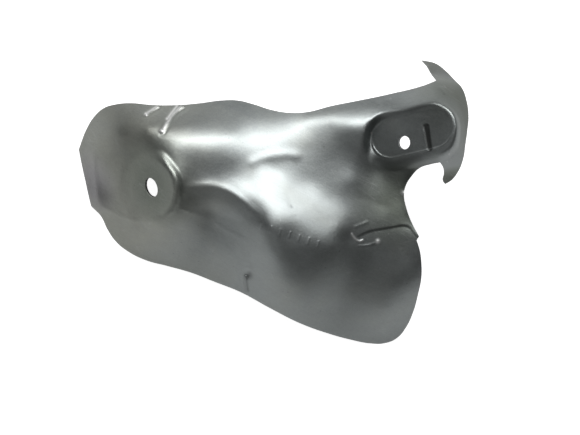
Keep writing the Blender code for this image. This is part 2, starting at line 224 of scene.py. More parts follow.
# small shapes pressed on top of the form, in millimetres; a dent or knot is x, y, radius, height
marks = {
    "pleats": [
        {"line": [(-81.0, 56.0), (-77.5, 59.0), (-73.5, 61.5)], "height": 0.8, "width": 1.1,
         "knot": 1.1},
        {"line": [(-70.0, 44.5), (-66.0, 51.5), (-62.0, 58.0), (-57.5, 61.5)], "height": 1.0,
         "width": 1.1, "knot": 1.3},
        {"line": [(-67.0, 52.5), (-63.0, 59.0), (-60.5, 62.5)], "height": 0.45, "width": 0.9,
         "knot": 1.0}],
    "padGroove": {"line": [(94.8, 46.0), (96.7, 32.2)], "depth": 0.8, "width": 1.5,
                  "taper": 0.2},
    "padBead": {"inset": 0.9, "width": 0.55, "height": 0.5},
    "rightPucker": {"crease": [(52.5, -22.8), (60.0, -18.5), (72.8, -16.5), (85.4, -14.0),
                               (90.5, -21.0)],
                    "step": 0.7, "width": 1.2, "fadeWidth": 7.0,
                    "knots": [(66.5, -25.3, 1.5, 0.55), (83.5, -32.5, 1.6, 0.3),
                              (81.5, -30.5, 1.0, 0.25)],
                    "folds": [
                        ([(49.5, -19.5), (51.5, -23.0), (54.5, -25.5), (58.0, -24.0)], 0.4, 0.7),
                        ([(53.5, -28.0), (60.0, -27.8), (65.5, -26.0)], 0.3, 0.7),
                        ([(51.0, -16.5), (56.0, -14.5), (61.0, -12.5)], 0.2, 1.0)],
                    "bowl": (47.0, -23.0, 5.5, 1.1)},  # x, y, radius, depth
    "bottomPucker": {"dimple": (-15.5, -47.0, 2.4, 1.7), "fold": [(-18.0, -47.5), (-18.0, -53.0),
                                                                 (-17.0, -59.5)],
                     "height": 0.9, "width": 0.9},
    "dashes": {"start": (-7.0, -15.5), "end": (28.5, -26.5), "count": 7, "length": 4.6,
               "width": 0.42, "height": 0.22},
    "creases": [  # line, height, width
        ([(-58.0, 7.5), (-50.0, 9.0), (-40.0, 10.0), (-31.0, 8.0), (-23.0, 4.0), (-17.0, -1.5),
          (-12.0, -6.5), (-7.0, -11.5)], 0.8, 2.2),
        ([(-16.0, 21.5), (-9.5, 26.5), (3.0, 29.5), (14.5, 29.5), (18.5, 26.5)], 0.45, 2.6),
        ([(-119.0, -1.0), (-106.0, -7.0), (-92.0, -12.0), (-77.0, -12.5), (-60.0, -4.5)],
         0.5, 1.3),
        ([(-60.0, -4.0), (-52.0, -6.5), (-40.0, -11.5), (-21.0, -22.5), (-14.5, -26.5)],
         0.32, 1.2),
        ([(-46.0, -6.5), (-33.5, -11.0), (-21.0, -17.0)], 0.22, 1.2),
        ([(-119.5, 34.0), (-118.0, 14.0), (-116.0, -1.0)], 0.4, 1.5),
        ([(52.0, 3.5), (63.0, 0.0), (74.0, -5.0)], -0.12, 2.6),
        ([(103.0, 71.5), (105.5, 69.0), (107.0, 66.0)], 0.4, 0.9),
        ([(110.5, 34.0), (108.5, 30.5), (109.5, 26.5)], 0.35, 0.8)],
    "dents": {"valley": (2.0, 19.5, 6.0, -0.55), "pit": (12.0, -3.5, 1.0, -0.22),
              "rimTick": (67.5, 61.0, 1.3, 0.25), "bayTick": (83.0, 5.5, 1.3, 0.5),
              "flange": (-92.0, 49.0, 9.0, -0.35)},
}


def ridge(x, y, line, height, width, fadeStart=0.12, fadeEnd=0.12):
    offset, run = alongLine(x, y, smoothLine(line))
    fade = ramp(run, 0.0, fadeStart) * (1.0 - ramp(run, 1.0 - fadeEnd, 1.0))
    return height * fade * np.exp(-(offset / width) ** 2)


def knot(x, y, spot):  # a small round bump or dent
    cx, cy, radius, height = spot
    return height * np.exp(-((x - cx) ** 2 + (y - cy) ** 2) / radius ** 2)


def pressMarks(x, y):
    z = np.zeros(x.shape)
    for pleat in marks["pleats"]:
        offset, run = alongLine(x, y, smoothLine(pleat["line"]))
        grow = 0.35 + 0.65 * run
        z += pleat["height"] * grow * np.exp(-(offset / pleat["width"]) ** 2)
        z -= 0.6 * pleat["height"] * grow * np.exp(-((offset + 2.2 * pleat["width"])
                                                     / pleat["width"]) ** 2)
        inner = pleat["line"][0]
        z += knot(x, y, (inner[0], inner[1], pleat["knot"], 0.5 * pleat["height"]))
    pucker = marks["rightPucker"]
    offset, run = alongLine(x, y, smoothLine(pucker["crease"]))
    fade = ramp(run, 0.0, 0.12)
    z -= (pucker["step"] * fade * ramp(-offset, -0.4 * pucker["width"], pucker["width"])
          * np.exp(-np.clip(-offset, 0.0, None) / pucker["fadeWidth"]))
    for spot in pucker["knots"]:
        z += knot(x, y, spot)
    for line, height, width in pucker["folds"]:
        z += ridge(x, y, line, height, width)
    cx, cy, radius, depth = pucker["bowl"]
    z += knot(x, y, (cx, cy, radius, -depth))
    pucker = marks["bottomPucker"]
    cx, cy, radius, depth = pucker["dimple"]
    z += knot(x, y, (cx, cy, radius, -depth)) + knot(x, y, (cx, cy + 3.4, radius, 0.4 * depth))
    z += ridge(x, y, pucker["fold"], pucker["height"], pucker["width"], 0.05, 0.02)
    bead = marks["padBead"]
    distance, _ = alongLine(x, y, press["armPadEnds"])
    (ax, ay), (bx, by) = press["armPadEnds"]
    under = ay + (by - ay) * np.clip((x - ax) / (bx - ax), 0.0, 1.0) - y
    z += (bead["height"] * ramp(under / np.maximum(np.abs(distance), 1e-6), -0.1, 0.5) * np.exp(
        -((np.abs(distance) - press["armPadRadius"] + bead["inset"]) / bead["width"]) ** 2))
    for line, height, width in marks["creases"]:
        z += ridge(x, y, line, height, width)
    for dent in marks["dents"].values():
        z += knot(x, y, dent)
    row = marks["dashes"]
    (ax, ay), (bx, by) = row["start"], row["end"]
    length = math.hypot(bx - ax, by - ay)
    ux, uy = (bx - ax) / length, (by - ay) / length
    for index in range(row["count"]):
        share = index / (row["count"] - 1)
        cx, cy = ax + share * (bx - ax), ay + share * (by - ay)
        along = (x - cx) * ux + (y - cy) * uy
        across = (x - cx) * -uy + (y - cy) * ux
        end = row["length"] / 2
        z += (row["height"] * (1.0 - ramp(np.abs(along), row["width"] * 0.5, row["width"] * 2.0))
              * (1.0 - ramp(np.abs(across), end - 0.4, end + 0.4)))
    return z


def padGroove(x, y):
    groove = marks["padGroove"]
    offset, run = alongLine(x, y, groove["line"])
    half = groove["width"] * (1.0 - groove["taper"] * run)
    return -groove["depth"] * (1.0 - bend(np.abs(offset), half - 0.5, half + 0.3, 0.3))


# how dark the painted shade in the hollows is and how bright the painted highlights are, 0 to 1
paintedLight = {
    "bowlShade": 0.42, "creaseShade": 0.5, "creaseWidth": 0.8, "dimpleShade": 0.6,
    "foldShade": 0.35, "foldWidth": 0.8, "pitShade": 0.5, "slotMargin": 0.8,
    "wallShade": 0.5, "wallPlace": 2.2, "wallWidth": 2.4,
    "knotHighlight": 1.3, "pleatHighlight": 0.9, "pleatWidth": 0.8, "foldHighlight": 0.8, "tickHighlight": 0.8,
}


def shadeInHollows(x, y):  # painted shade in the pad groove, creases, dimples, pucker bowl, a pit and along the arm pad's wall, 0 to 1
    cx, cy, radius, _ = marks["rightPucker"]["bowl"]
    bowl = paintedLight["bowlShade"] * knot(x, y, (cx, cy + 0.15 * radius, radius, 1.0))
    crease, run = alongLine(x, y, smoothLine(marks["rightPucker"]["crease"]))
    fold = (paintedLight["creaseShade"] * np.exp(-(crease / paintedLight["creaseWidth"]) ** 2)
            * (1.0 - ramp(run, 0.5, 1.0)))
    cx, cy, radius, _ = marks["bottomPucker"]["dimple"]
    dimple = paintedLight["dimpleShade"] * knot(x, y, (cx + 0.6, cy - 0.5, radius * 0.9, 1.0))
    tail = paintedLight["foldShade"] * ridge(x + 0.8, y, marks["bottomPucker"]["fold"], 1.0,
                                      paintedLight["foldWidth"], 0.05, 0.02)
    cx, cy, radius, _ = marks["dents"]["pit"]
    dent = paintedLight["pitShade"] * knot(x, y, (cx, cy, radius * 0.8, 1.0))
    groove = marks["padGroove"]
    offset, run = alongLine(x, y, groove["line"])
    slot = 1.0 - ramp(np.abs(offset), groove["width"] * (1.0 - groove["taper"] * run),
                      groove["width"] + paintedLight["slotMargin"])
    distance, _ = alongLine(x, y, press["armPadEnds"])
    farEnd = press["armPadEnds"][1][0]
    wall = (paintedLight["wallShade"] * np.exp(
        -((np.abs(distance) - press["armPadRadius"] - paintedLight["wallPlace"]) / paintedLight["wallWidth"]) ** 2)
        * (1.0 - ramp(x, farEnd - 12.0, farEnd + 4.0)))
    return np.clip(np.maximum.reduce([slot, wall, bowl, fold, dimple, tail, dent]), 0.0, 1.0)


def paintedHighlights(x, y):  # painted highlights on the pleats and their knots, a pucker knot and fold, and a bay tick, 0 to 1
    paintedHighlight = np.zeros(x.shape)
    for pleat in marks["pleats"]:
        inner = pleat["line"][0]
        tip = (inner[0], inner[1], pleat["knot"], paintedLight["knotHighlight"])
        paintedHighlight = np.maximum(paintedHighlight, knot(x, y, tip))
        paintedHighlight = np.maximum(paintedHighlight, ridge(x, y, pleat["line"], paintedLight["pleatHighlight"],
                                        paintedLight["pleatWidth"]))
    cx, cy, radius, _ = marks["rightPucker"]["knots"][0]
    paintedHighlight = np.maximum(paintedHighlight, knot(x, y, (cx, cy, radius * 0.9, paintedLight["knotHighlight"])))
    line, _, width = marks["rightPucker"]["folds"][0]
    paintedHighlight = np.maximum(paintedHighlight, ridge(x, y, line, paintedLight["foldHighlight"], width))
    cx, cy, radius, _ = marks["dents"]["bayTick"]
    return np.clip(np.maximum(paintedHighlight, knot(x, y, (cx, cy, radius, paintedLight["tickHighlight"]))), 0.0, 1.0)


def outerForm(x, y):
    return armPad(x, y, pressedForm(x, y)) + pressMarks(x, y) + padGroove(x, y)


def innerForm(x, y):
    return armPad(x, y, pressedForm(x, y))


# the flat blanks that get pressed, in millimetres
blanks = {
    "outerCell": 1.7,
    "innerCell": 3.2,
    "fineZones": [  # low x, low y, high x, high y, cell
        (62, 12, 122, 80, 0.8),
        (60, 24, 113, 46, 0.6),
        (91, 31, 100, 51, 0.35),
        (-100, -8, -54, 36, 0.9),
        (40, -38, 94, -8, 0.8),
        (-88, 38, -52, 66, 0.8),
        (-84, 42, -55, 66, 0.5),
        (50, -32, 92, -11, 0.5),
        (-24, -62, -10, -40, 0.8),
        (-11, -30, 32, -12, 0.5)],
    "mergeGap": 0.12,
    "outerRimSteps": 12, "innerRimSteps": 8,
}


def flatBlank(stretches, steps):
    points = [(p, index == 0) for line in stretches for index, p in enumerate(line)]
    curve = bpy.data.curves.new("rimGuide", "CURVE")
    curve.dimensions = "2D"
    curve.fill_mode = "NONE"
    curve.resolution_u = steps
    spline = curve.splines.new("BEZIER")
    spline.bezier_points.add(len(points) - 1)
    for rimKnot, ((x, y, _), corner) in zip(spline.bezier_points, points):
        rimKnot.co = (x, y, 0.0)
        rimKnot.handle_left_type = rimKnot.handle_right_type = "VECTOR" if corner else "AUTO"
    spline.use_cyclic_u = True
    guide = bpy.data.objects.new("rimGuide", curve)
    bpy.context.scene.collection.objects.link(guide)
    bpy.context.view_layer.update()
    outline = bpy.data.meshes.new_from_object(
        guide.evaluated_get(bpy.context.evaluated_depsgraph_get()))
    bpy.data.objects.remove(guide, do_unlink=True)
    bpy.data.curves.remove(curve)
    blank = bmesh.new()
    blank.from_mesh(outline)
    bpy.data.meshes.remove(outline)
    bmesh.ops.remove_doubles(blank, verts=blank.verts, dist=0.01)
    bmesh.ops.edgeloop_fill(blank, edges=blank.edges)
    for face in blank.faces:
        if face.normal.z < 0:
            face.normal_flip()
    return blank


def scribe(blank, axis, low, high, step, zone=None):  # cut along parallel lines
    normal = Vector((1, 0, 0)) if axis == 0 else Vector((0, 1, 0))
    faces = [f for f in blank.faces if zone is None or zone(f.calc_center_bounds())]
    geom = faces + list({e for f in faces for e in f.edges}) + list(
        {v for f in faces for v in f.verts})
    for index in range(math.ceil(low / step), math.floor(high / step) + 1):
        place = normal * (index * step + 0.013)  # a hair off the plan's round numbers
        geom = bmesh.ops.bisect_plane(blank, geom=geom, dist=1e-4, plane_co=place,
                                      plane_no=normal)["geom"]


def gridBlank(blank, cell, fineZones):
    low = [min(v.co[i] for v in blank.verts) for i in range(2)]
    high = [max(v.co[i] for v in blank.verts) for i in range(2)]
    for axis in range(2):
        scribe(blank, axis, low[axis], high[axis], cell)
    for x0, y0, x1, y1, fine in fineZones:
        def zone(centre):
            return x0 < centre.x < x1 and y0 < centre.y < y1
        for axis, (start, end) in enumerate(((x0, x1), (y0, y1))):
            scribe(blank, axis, start, end, fine, zone)
    bmesh.ops.remove_doubles(blank, verts=blank.verts, dist=blanks["mergeGap"])
    bmesh.ops.dissolve_degenerate(blank, edges=blank.edges, dist=0.01)


def pressBlank(blank, shape, depth):
    x = np.array([v.co.x for v in blank.verts])
    y = np.array([v.co.y for v in blank.verts])
    for vert, z in zip(blank.verts, shape(x, y)):
        vert.co.z = z
    bmesh.ops.triangulate(blank, faces=[f for f in blank.faces if len(f.verts) > 4])
    blank.normal_update()
    sunk = [v.co - v.normal * depth for v in blank.verts]  # down to this skin's upper face
    for vert, place in zip(blank.verts, sunk):
        vert.co = (place + Vector(press["shift"])) * mm


def punchFor(name, bolt, tilt, uphill, diameter):
    punch = bmesh.new()
    radius = diameter / 2 * mm
    bmesh.ops.create_cone(punch, cap_ends=True, segments=press["punchSides"], radius1=radius,
                          radius2=radius, depth=press["punchLength"] * mm)
    turn = Vector((0, 0, 1)).rotation_difference(padNormal(tilt, uphill)).to_matrix().to_4x4()
    place = Matrix.Translation((Vector(bolt) + Vector(press["shift"])) * mm)
    bmesh.ops.transform(punch, matrix=place @ turn, verts=punch.verts)
    mesh = bpy.data.meshes.new(name)
    punch.to_mesh(mesh)
    punch.free()
    cutter = bpy.data.objects.new(name, mesh)
    bpy.context.scene.collection.objects.link(cutter)
    return cutter


def makeSkin(name, blank, shape, depth, thickness, cell, fineZones, punches):
    gridBlank(blank, cell, fineZones)
    pressBlank(blank, shape, depth)
    mesh = bpy.data.meshes.new(name)
    blank.to_mesh(mesh)
    blank.free()
    mesh.shade_smooth()
    skin = bpy.data.objects.new(name, mesh)
    bpy.context.scene.collection.objects.link(skin)
    wall = skin.modifiers.new("sheet", "SOLIDIFY")
    wall.thickness = thickness * mm
    wall.offset = -1.0
    for punch in punches:
        hole = skin.modifiers.new(punch.name, "BOOLEAN")
        hole.operation = "DIFFERENCE"
        hole.solver = "EXACT"
        hole.object = punch
    graph = bpy.context.evaluated_depsgraph_get()
    finished = bpy.data.meshes.new_from_object(skin.evaluated_get(graph))
    skin.modifiers.clear()
    skin.data = finished
    bpy.data.meshes.remove(mesh)
    finished.name = name
    finished.shade_smooth()
    finished.set_sharp_from_angle(angle=math.radians(press["sharpAngle"]))
    finished.calc_loop_triangles()
    print(name, len(finished.loop_triangles), "triangles")
    return skin


def innerStretches():  # the inner skin leaves out both claws
    tail = rim["tail"][4:-2]
    return [rim["left end and top"], tail[:1], tail[1:], rim["bay"][1:], rim["nib"],
            rim["lobe and bottom"], rim["left edge"]]


# steel: shared effects are node groups, each piece mixes them in its own way
def addNode(tree, kind, settings=(), **values):
    node = tree.nodes.new(kind)
    for key, value in dict(settings).items():
        setattr(node, key, value)
    for key, value in values.items():
        socket = node.inputs[key.replace("_", " ")]
        if isinstance(value, bpy.types.NodeSocket):
            tree.links.new(value, socket)
        else:
            socket.default_value = value
    return node


def mathNode(tree, operation, first, second):
    node = tree.nodes.new("ShaderNodeMath")
    node.operation = operation
    for socket, value in zip(node.inputs, (first, second)):
        if isinstance(value, bpy.types.NodeSocket):
            tree.links.new(value, socket)
        else:
            socket.default_value = value
    return node.outputs[0]


def spread(tree, value, low, high, start=0.0, end=1.0):
    node = addNode(tree, "ShaderNodeMapRange", Value=value)
    node.inputs["From Min"].default_value = low
    node.inputs["From Max"].default_value = high
    node.inputs["To Min"].default_value = start
    node.inputs["To Max"].default_value = end
    return node.outputs["Result"]


def mixColour(tree, factor, first, second):
    node = addNode(tree, "ShaderNodeMix", {"data_type": "RGBA"})
    for socket, value in zip((node.inputs[0], node.inputs[6], node.inputs[7]),
                             (factor, first, second)):
        if isinstance(value, bpy.types.NodeSocket):
            tree.links.new(value, socket)
        else:
            socket.default_value = value
    return node.outputs[2]


def startGroup(name, inputs, output):
    tree = bpy.data.node_groups.new(name, "ShaderNodeTree")
    tree.interface.new_socket("Vector", in_out="INPUT", socket_type="NodeSocketVector")
    for label, value in inputs:
        socket = tree.interface.new_socket(label, in_out="INPUT", socket_type="NodeSocketFloat")
        socket.default_value = value
    tree.interface.new_socket(output, in_out="OUTPUT", socket_type="NodeSocketFloat")
    return tree, tree.nodes.new("NodeGroupInput"), tree.nodes.new("NodeGroupOutput")


def grainGroup():  # the fine spangle of the coating
    tree, entry, leave = startGroup("steelGrain", [("Scale", 1200.0), ("Softness", 0.5)],
                                    "Value")
    cells = addNode(tree, "ShaderNodeTexVoronoi", Vector=entry.outputs["Vector"],
                    Scale=entry.outputs["Scale"])
    tone = addNode(tree, "ShaderNodeSeparateColor", Color=cells.outputs["Color"])
    finer = mathNode(tree, "MULTIPLY", entry.outputs["Scale"], 1.7)
    dust = addNode(tree, "ShaderNodeTexNoise", Vector=entry.outputs["Vector"], Scale=finer,
                   Detail=3.0)
    blend = addNode(tree, "ShaderNodeMix", Factor=entry.outputs["Softness"],
                    A=tone.outputs["Red"], B=dust.outputs["Fac"])
    tree.links.new(blend.outputs["Result"], leave.inputs["Value"])
    return tree


def brushGroup():  # long fine strokes left by rolling and by the press
    tree, entry, leave = startGroup("steelBrushing", [("Angle", 0.0), ("Scale", 900.0),
                                                      ("Stretch", 0.03)], "Value")
    turned = addNode(tree, "ShaderNodeVectorRotate", {"rotation_type": "Z_AXIS"},
                     Vector=entry.outputs["Vector"], Angle=entry.outputs["Angle"])
    squash = addNode(tree, "ShaderNodeCombineXYZ", X=entry.outputs["Stretch"])
    squash.inputs["Y"].default_value = 1.0
    squash.inputs["Z"].default_value = 0.3
    long = addNode(tree, "ShaderNodeVectorMath", {"operation": "MULTIPLY"})
    tree.links.new(turned.outputs["Vector"], long.inputs[0])
    tree.links.new(squash.outputs["Vector"], long.inputs[1])
    lines = addNode(tree, "ShaderNodeTexNoise", Vector=long.outputs["Vector"],
                    Scale=entry.outputs["Scale"], Detail=4.0, Roughness=0.65)
    tree.links.new(lines.outputs["Fac"], leave.inputs["Value"])
    return tree


def mottleGroup():  # clouds of tone, with a softer second layer
    tree, entry, leave = startGroup("steelMottling", [("Scale", 20.0), ("Contrast", 1.0)],
                                    "Value")
    broad = addNode(tree, "ShaderNodeTexNoise", Vector=entry.outputs["Vector"],
                    Scale=entry.outputs["Scale"], Detail=5.0, Roughness=0.6, Distortion=0.6)
    centred = mathNode(tree, "SUBTRACT", broad.outputs["Fac"], 0.5)
    scaled = mathNode(tree, "MULTIPLY", centred, entry.outputs["Contrast"])
    tree.links.new(mathNode(tree, "ADD", scaled, 0.5), leave.inputs["Value"])
    return tree


def scratchGroup():  # sparse thin scratches in one direction
    tree, entry, leave = startGroup("steelScratches", [("Angle", 0.0), ("Scale", 60.0),
                                                       ("Amount", 0.5)], "Mask")
    wobble = addNode(tree, "ShaderNodeTexNoise", Vector=entry.outputs["Vector"], Scale=35.0)
    push = addNode(tree, "ShaderNodeVectorMath", {"operation": "SCALE"}, Scale=0.006)
    tree.links.new(wobble.outputs["Color"], push.inputs[0])
    moved = addNode(tree, "ShaderNodeVectorMath", {"operation": "ADD"})
    tree.links.new(entry.outputs["Vector"], moved.inputs[0])
    tree.links.new(push.outputs["Vector"], moved.inputs[1])
    turned = addNode(tree, "ShaderNodeVectorRotate", {"rotation_type": "Z_AXIS"},
                     Vector=moved.outputs["Vector"], Angle=entry.outputs["Angle"])
    squash = addNode(tree, "ShaderNodeVectorMath", {"operation": "MULTIPLY"})
    tree.links.new(turned.outputs["Vector"], squash.inputs[0])
    squash.inputs[1].default_value = (0.7, 6.0, 0.5)
    lines = addNode(tree, "ShaderNodeTexVoronoi", {"feature": "DISTANCE_TO_EDGE"},
                    Vector=squash.outputs["Vector"], Scale=entry.outputs["Scale"])
    thin = spread(tree, lines.outputs["Distance"], 0.035, 0.0)
    patches = addNode(tree, "ShaderNodeTexNoise", Vector=moved.outputs["Vector"], Scale=55.0,
                      Detail=2.0)
    gate = mathNode(tree, "SUBTRACT", patches.outputs["Fac"],
                    mathNode(tree, "SUBTRACT", 0.85, mathNode(
                        tree, "MULTIPLY", entry.outputs["Amount"], 0.5)))
    tree.links.new(mathNode(tree, "MULTIPLY", thin, spread(tree, gate, 0.0, 0.08)),
                   leave.inputs["Mask"])
    return tree


def speckGroup():  # tiny pits and specks
    tree, entry, leave = startGroup("steelSpecks", [("Scale", 260.0), ("Amount", 0.5)], "Mask")
    dots = addNode(tree, "ShaderNodeTexVoronoi", Vector=entry.outputs["Vector"],
                   Scale=entry.outputs["Scale"])
    chance = addNode(tree, "ShaderNodeSeparateColor", Color=dots.outputs["Color"])
    chosen = spread(tree, mathNode(tree, "SUBTRACT", chance.outputs["Green"], mathNode(
        tree, "SUBTRACT", 1.0, mathNode(tree, "MULTIPLY", entry.outputs["Amount"], 0.1))),
        0.0, 0.02)
    tree.links.new(mathNode(tree, "MULTIPLY", chosen,
                            spread(tree, dots.outputs["Distance"], 0.28, 0.12)),
                   leave.inputs["Mask"])
    return tree


def wearGroup():  # worn bright edges of the sheet
    tree, entry, leave = startGroup("edgeWear", [("Start", 0.52), ("End", 0.6)], "Mask")
    shape = tree.nodes.new("ShaderNodeNewGeometry")
    rough = addNode(tree, "ShaderNodeTexNoise", Vector=entry.outputs["Vector"], Scale=300.0,
                    Detail=3.0)
    edge = addNode(tree, "ShaderNodeMapRange", Value=shape.outputs["Pointiness"],
                   From_Min=entry.outputs["Start"], From_Max=entry.outputs["End"])
    tree.links.new(mathNode(tree, "MULTIPLY", edge.outputs["Result"],
                            spread(tree, rough.outputs["Fac"], 0.3, 0.6)),
                   leave.inputs["Mask"])
    return tree


effects = {"grain": grainGroup(), "brush": brushGroup(), "mottle": mottleGroup(),
           "scratch": scratchGroup(), "speck": speckGroup(), "wear": wearGroup()}


def effect(tree, name, vector, **values):
    node = tree.nodes.new("ShaderNodeGroup")
    node.node_tree = effects[name]
    tree.links.new(vector, node.inputs["Vector"])
    for key, value in values.items():
        node.inputs[key].default_value = value
    return node.outputs[0]


def near(tree, vector, place, inside, outside):  # 1 near a place on the shield, 0 away from it
    node = addNode(tree, "ShaderNodeVectorMath", {"operation": "DISTANCE"})
    tree.links.new(vector, node.inputs[0])
    node.inputs[1].default_value = Vector(place) * mm
    return spread(tree, node.outputs["Value"], outside * mm, inside * mm)


def patchesNear(tree, vector, spots):  # the strongest of several patches
    total = None
    for spot, inside, outside, share in spots:
        part = mathNode(tree, "MULTIPLY", near(tree, vector, spot, inside, outside), share)
        total = part if total is None else mathNode(tree, "MAXIMUM", total, part)
    return total


def layer(tree, base, value, amount):  # base plus a share of a centred value
    return mathNode(tree, "ADD", base, mathNode(
        tree, "MULTIPLY", mathNode(tree, "SUBTRACT", value, 0.5), amount))


outerSteel = {
    "cool": (0.330, 0.354, 0.352), "warm": (0.340, 0.350, 0.318), "film": (0.290, 0.320, 0.278),
    "lilac": (0.364, 0.362, 0.368), "pit": (0.10, 0.10, 0.10), "scuff": (0.50, 0.51, 0.51),
    # the near-black colour here is painted shade for the hollows
    # the near-white colour here is a painted highlight for the pleats and knots
    "paintedShade": (0.085, 0.09, 0.088), "highlightColour": (0.86, 0.87, 0.86),
    "warmFrom": -20.0, "warmTo": -85.0,
    "filmSpots": [  # place, inner radius, outer radius, share
        ((-73.0, 12.0, 50.0), 10.0, 34.0, 0.8), ((108.0, 92.0, 10.0), 20.0, 48.0, 1.0),
        ((122.0, 60.0, 60.0), 12.0, 34.0, 1.0), ((116.0, 14.0, 42.0), 8.0, 20.0, 1.2),
        ((84.0, 0.0, 56.0), 8.0, 34.0, 1.0)],
    # painted shade: these spots darken the sheet's colour on the claws, the tail, both pads and a
    # valley
    "dullAndShade": 0.42, "shadeSpots": [  # as above, and how dark the sheet gets there
        ((106.0, 90.0, 15.0), 26.0, 70.0, 1.0), ((122.0, 56.0, 60.0), 14.0, 40.0, 0.9),
        ((112.0, 10.0, 36.0), 10.0, 30.0, 0.9), ((84.0, 4.0, 55.0), 14.0, 40.0, 0.8),
        ((-78.0, 10.0, 46.0), 8.0, 26.0, 0.3), ((32.0, 30.0, 60.0), 6.0, 26.0, 0.25)],
    "lilacPlace": (-119.0, 12.0, 10.0), "lilacInside": 8.0, "lilacOutside": 26.0,
    "roughness": 0.42, "roughnessClouds": 0.10, "roughnessGrain": 0.10,
    "toneGrain": 0.24, "toneClouds": 0.26, "toneBrush": 0.18,
    "grainHeight": 1.7, "brushHeight": 0.8, "rippleHeight": 5.0, "scratchHeight": 0.4,
    "strokeAngle": 0.5, "crossAngle": -0.9, "strayAngle": -1.1, "bumpDistance": 0.02,
    "scratchShare": 0.22, "strayShare": 0.15, "speckShare": 0.4, "wearShare": 0.6,
    "filmRoughness": 0.04,
}
innerSteel = {
    "bright": (0.40, 0.40, 0.39), "dullAndShade": (0.27, 0.265, 0.26), "roughness": 0.5,
    "roughnessClouds": 0.12, "toneGrain": 0.2, "bumpDistance": 0.02,
    "grainHeight": 0.4, "brushHeight": 0.3, "strokeAngle": 0.1, "markShare": 0.4,
}


def colour(values):
    return (*values, 1.0)


def makeOuterSteel():
    look = outerSteel
    material = bpy.data.materials.new("outerSteel")
    material.use_nodes = True
    tree = material.node_tree
    shader = tree.nodes["Principled BSDF"]
    place = tree.nodes.new("ShaderNodeTexCoord").outputs["Object"]
    clouds = effect(tree, "mottle", place, Scale=22.0, Contrast=1.5)
    patches = effect(tree, "mottle", place, Scale=95.0, Contrast=1.2)
    ripples = effect(tree, "mottle", place, Scale=60.0, Contrast=1.0)
    grain = effect(tree, "grain", place, Scale=1300.0, Softness=0.55)
    brush = effect(tree, "brush", place, Angle=look["strokeAngle"], Scale=1100.0, Stretch=0.04)
    cross = effect(tree, "brush", place, Angle=look["crossAngle"], Scale=700.0, Stretch=0.06)
    scratches = effect(tree, "scratch", place, Angle=look["strokeAngle"], Scale=48.0, Amount=0.6)
    strays = effect(tree, "scratch", place, Angle=look["strayAngle"], Scale=36.0, Amount=0.35)
    specks = effect(tree, "speck", place, Scale=380.0, Amount=0.2)
    wear = effect(tree, "wear", place, Start=0.54, End=0.66)

    along = addNode(tree, "ShaderNodeSeparateXYZ", Vector=place)
    left = spread(tree, along.outputs["X"], look["warmFrom"] * mm, look["warmTo"] * mm)
    warmth = layer(tree, left, clouds, 1.1)
    film = patchesNear(tree, place, look["filmSpots"])
    film = mathNode(tree, "MULTIPLY", film, spread(tree, patches, 0.0, 0.6, 0.7, 1.0))
    lilac = near(tree, place, look["lilacPlace"], look["lilacInside"], look["lilacOutside"])
    sheet = mixColour(tree, warmth, colour(look["cool"]), colour(look["warm"]))
    sheet = mixColour(tree, film, sheet, colour(look["film"]))
    sheet = mixColour(tree, lilac, sheet, colour(look["lilac"]))
    tone = layer(tree, 1.0, grain, look["toneGrain"])
    tone = layer(tree, tone, clouds, look["toneClouds"])
    tone = layer(tree, tone, patches, look["toneClouds"] * 0.5)
    tone = layer(tree, tone, brush, look["toneBrush"])
    # painted shade: the colour is darkened on the claws, the tail, both pads and a valley
    dullAndShade = patchesNear(tree, place, look["shadeSpots"])
    tone = mathNode(tree, "MULTIPLY", tone, spread(tree, dullAndShade, 0.0, 1.0, 1.0, look["dullAndShade"]))
    toned = addNode(tree, "ShaderNodeVectorMath", {"operation": "SCALE"}, Scale=tone)
    tree.links.new(sheet, toned.inputs[0])
    marked = toned.outputs["Vector"]
    for mask, share, shade in ((scratches, "scratchShare", "scuff"),
                               (strays, "strayShare", "scuff"),
                               (specks, "speckShare", "pit"),
                               (wear, "wearShare", "scuff")):
        marked = mixColour(tree, mathNode(tree, "MULTIPLY", mask, look[share]), marked,
                           colour(look[shade]))
    # painted shade: this vertex attribute mixes a near-black colour into the grooves, creases,
    # dimples and the arm pad's wall
    hollowShade = addNode(tree, "ShaderNodeAttribute", {"attribute_name": "hollowShade"}).outputs["Fac"]
    paintedShade = mathNode(tree, "MULTIPLY", hollowShade, spread(tree, patches, 0.2, 0.7, 0.8, 1.0))
    marked = mixColour(tree, paintedShade, marked, colour(look["paintedShade"]))
    # painted highlight: this vertex attribute mixes a near-white colour into the pleats, knots, a
    # fold and a tick
    paintedHighlight = addNode(tree, "ShaderNodeAttribute", {"attribute_name": "paintedHighlight"}).outputs["Fac"]
    marked = mixColour(tree, paintedHighlight, marked, colour(look["highlightColour"]))
    tree.links.new(marked, shader.inputs["Base Color"])

    roughness = layer(tree, look["roughness"], clouds, look["roughnessClouds"])
    roughness = layer(tree, roughness, grain, look["roughnessGrain"])
    roughness = mathNode(tree, "ADD", roughness,
                         mathNode(tree, "MULTIPLY", film, look["filmRoughness"]))
    tree.links.new(roughness, shader.inputs["Roughness"])
    shader.inputs["Metallic"].default_value = 1.0

    height = mathNode(tree, "MULTIPLY", grain, look["grainHeight"])
    height = layer(tree, height, brush, look["brushHeight"])
    height = layer(tree, height, mathNode(tree, "MULTIPLY", cross, left), look["brushHeight"])
    height = layer(tree, height, ripples, look["rippleHeight"])
    height = mathNode(tree, "SUBTRACT", height, mathNode(
        tree, "MULTIPLY", mathNode(tree, "ADD", scratches, strays), look["scratchHeight"]))
    bump = addNode(tree, "ShaderNodeBump", Height=height)
    bump.inputs["Distance"].default_value = look["bumpDistance"] * mm
    bump.inputs["Strength"].default_value = 1.0
    tree.links.new(bump.outputs["Normal"], shader.inputs["Normal"])
    return material


